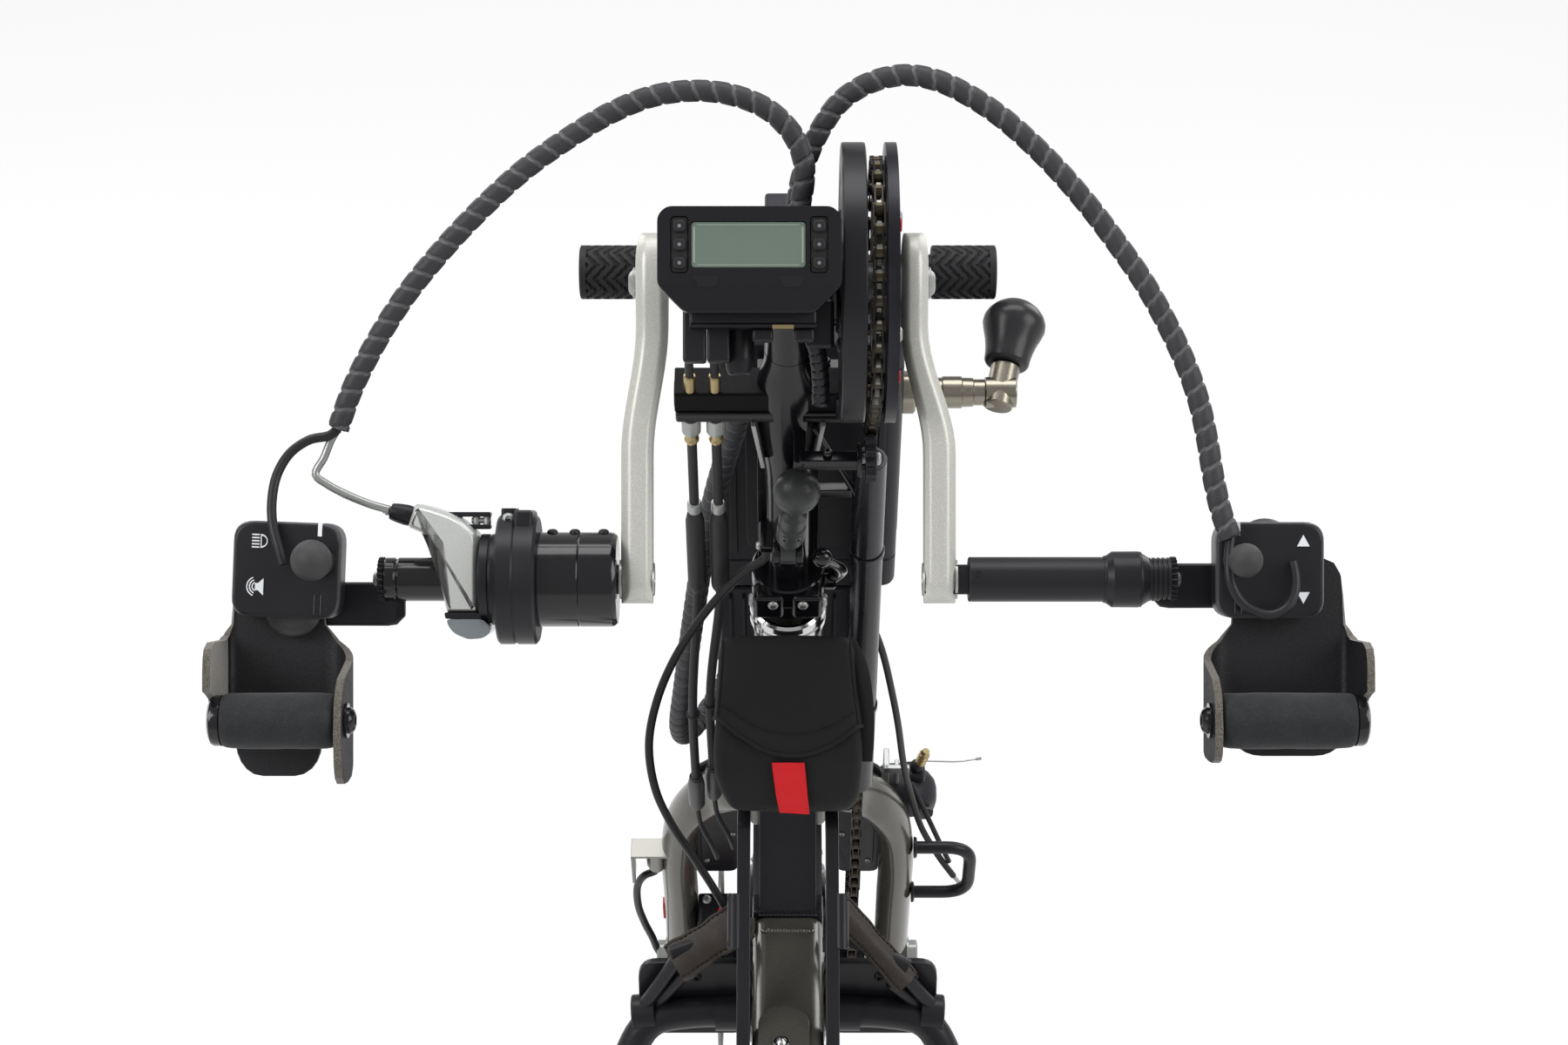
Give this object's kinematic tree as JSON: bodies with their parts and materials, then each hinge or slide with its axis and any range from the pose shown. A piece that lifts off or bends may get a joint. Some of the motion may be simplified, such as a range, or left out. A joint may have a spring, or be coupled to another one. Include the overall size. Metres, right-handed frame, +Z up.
{
  "type": "clip-on electric handcycle",
  "caption": "Clip-on front handcycle for a wheelchair, with hand cranks, padded palm rests, hub motor wheel, battery and parking stand",
  "frame": {"origin": "on the floor, under the middle of the bounding box", "axes": "+X to the rider's right, +Y forward away from the rider, +Z up; the front wheel points straight ahead"},
  "size_m": [0.608, 0.74, 1.0553],
  "materials": {
    "tyre": "moulded tread, satin black",
    "rim": "black anodised, with black spokes",
    "hub": "satin black cast shell",
    "steel": "zinc plated or brushed",
    "fork": "grey-brown metallic gloss",
    "black_metal": "black anodised, satin",
    "silver": "silver metallic, fine grain",
    "chain": "oiled",
    "black_plastic": "fine grain",
    "rubber": "ribbed",
    "cloth": "woven nylon",
    "foam": "padded, stitched",
    "case": "semi-gloss",
    "cable": "sheathed"
  },
  "bodies": {
    "frame": {"neck": "black_metal", "main_tube": "fork", "rack_rails": "black_metal", "stand_hoop": "black_metal", "foot_left": "rubber", "foot_right": "rubber", "tool_bag": "cloth", "dock_bar": "black_metal", "release_cable": "cable"},
    "hook_left": {"dock_hook_left": "steel"},
    "hook_right": {"dock_hook_right": "steel"},
    "steering": {"fork": "fork", "wheel_axle": "steel", "headset_ring": "steel", "column": "black_metal", "chain": "chain", "chain_tube": "black_plastic", "push_bar": "black_metal", "push_grip_left": "rubber", "push_grip_right": "rubber", "battery": "black_plastic", "controller_box": "black_metal", "headlamp": "black_plastic", "control_cable_left": "cable", "control_cable_right": "cable", "harness": "cable", "brake_caliper": "black_metal", "derailleur": "black_metal", "derailleur_guard": "black_metal", "display_case": "case", "hose_left": "cable", "hose_right": "cable"},
    "wheel": {"tyre": "tyre", "rim": "rim", "hub_motor": "hub", "brake_rotor": "steel"},
    "rear_sprocket": {"sprocket": "steel"},
    "cranks": {"crank_axle": "steel", "crank_left": "silver", "crank_right": "silver", "chainring": "steel", "guard_inner": "black_plastic", "guard_outer": "black_metal"},
    "grip_left": {"grip_hub_left": "black_metal", "lever_body": "silver", "palm_plate_left": "black_metal", "control_box_left": "black_plastic"},
    "grip_right": {"grip_tube_right": "black_metal", "palm_plate_right": "black_metal", "control_box_right": "black_plastic"},
    "roll_left": {"wrist_roll_left": "foam"},
    "roll_right": {"wrist_roll_right": "foam"},
    "brake_lever": {"brake_blade": "black_metal"},
    "toggle_left_body": {"toggle_left": "rubber"},
    "toggle_right_body": {"toggle_right": "rubber"},
    "keypad_left": {"keys_left": "rubber"},
    "keypad_right": {"keys_right": "rubber"},
    "dock_release": {"release_lever": "black_plastic"},
    "column_clamp": {"clamp_lever": "black_metal"},
    "battery_lock": {"battery_handle": "steel"}
  },
  "joints": [
    {"name": "steering_turn", "type": "hinge", "parent": "frame", "child": "steering", "pos_m": [0, 0.08241, 0.23632], "axis": [0, -0.342, 0.9397], "range_deg": [-35, 35], "deforming": ["release_cable"]},
    {"name": "wheel_spin", "type": "hinge", "parent": "steering", "child": "wheel", "pos_m": [0, 0.12, 0.25], "axis": [1, 0, 0], "continuous": true},
    {"name": "crank_spin", "type": "hinge", "parent": "steering", "child": "cranks", "pos_m": [0, -0.17616, 0.94673], "axis": [1, 0, 0], "continuous": true, "deforming": ["hose_left", "hose_right"]},
    {"name": "sprocket_spin", "type": "hinge", "parent": "steering", "child": "rear_sprocket", "pos_m": [0, 0.12, 0.25], "axis": [1, 0, 0], "continuous": true},
    {"name": "grip_left_spin", "type": "hinge", "parent": "cranks", "child": "grip_left", "pos_m": [0, -0.25616, 0.80816], "axis": [1, 0, 0], "continuous": true, "deforming": ["hose_left"]},
    {"name": "grip_right_spin", "type": "hinge", "parent": "cranks", "child": "grip_right", "pos_m": [0, -0.25616, 0.80816], "axis": [1, 0, 0], "continuous": true, "deforming": ["hose_right"]},
    {"name": "roll_left_spin", "type": "hinge", "parent": "grip_left", "child": "roll_left", "pos_m": [-0.268, -0.33163, 0.76744], "axis": [1, 0, 0], "continuous": true},
    {"name": "roll_right_spin", "type": "hinge", "parent": "grip_right", "child": "roll_right", "pos_m": [0.262, -0.33163, 0.76744], "axis": [1, 0, 0], "continuous": true},
    {"name": "brake_lever_pull", "type": "hinge", "parent": "grip_left", "child": "brake_lever", "pos_m": [-0.181, -0.24016, 0.83588], "axis": [0, 0.866, -0.5], "range_deg": [0, 9], "stiffness_Nm_per_rad": 0.6},
    {"name": "toggle_left_tilt", "type": "hinge", "parent": "grip_left", "child": "toggle_left_body", "pos_m": [-0.2483, -0.26798, 0.82769], "axis": [1, 0, 0], "range_deg": [-15, 15], "stiffness_Nm_per_rad": 0.3},
    {"name": "toggle_right_tilt", "type": "hinge", "parent": "grip_right", "child": "toggle_right_body", "pos_m": [0.2375, -0.26798, 0.82769], "axis": [1, 0, 0], "range_deg": [-15, 15], "stiffness_Nm_per_rad": 0.3},
    {"name": "keys_left_press", "type": "slide", "parent": "steering", "child": "keypad_left", "axis": [0, 0.866, -0.5], "range_m": [0, 0.001], "stiffness_N_per_m": 500},
    {"name": "keys_right_press", "type": "slide", "parent": "steering", "child": "keypad_right", "axis": [0, 0.866, -0.5], "range_m": [0, 0.001], "stiffness_N_per_m": 500},
    {"name": "dock_release_turn", "type": "hinge", "parent": "steering", "child": "dock_release", "pos_m": [0, -0.1303, 0.75058], "axis": [1, 0, 0], "range_deg": [0, 40]},
    {"name": "column_clamp_turn", "type": "hinge", "parent": "steering", "child": "column_clamp", "pos_m": [0.026, -0.08911, 0.70757], "axis": [1, 0, 0], "range_deg": [0, 35]},
    {"name": "battery_lock_turn", "type": "hinge", "parent": "steering", "child": "battery_lock", "pos_m": [0.08, -0.03634, 0.80819], "axis": [1, 0, 0], "range_deg": [-90, 0]},
    {"name": "hook_left_turn", "type": "hinge", "parent": "frame", "child": "hook_left", "pos_m": [-0.1103, -0.318, 0.392], "axis": [1, 0, 0], "range_deg": [-24, 0]},
    {"name": "hook_right_turn", "type": "hinge", "parent": "frame", "child": "hook_right", "pos_m": [0.1103, -0.318, 0.392], "axis": [1, 0, 0], "range_deg": [-24, 0]}
  ],
  "couplings": [
    {"joint": "sprocket_spin", "follows": "crank_spin", "ratio": 1.7778},
    {"joint": "grip_left_spin", "follows": "crank_spin", "ratio": -1},
    {"joint": "grip_right_spin", "follows": "crank_spin", "ratio": -1},
    {"joint": "hook_left_turn", "follows": "dock_release_turn", "ratio": -0.6},
    {"joint": "hook_right_turn", "follows": "dock_release_turn", "ratio": -0.6}
  ]
}
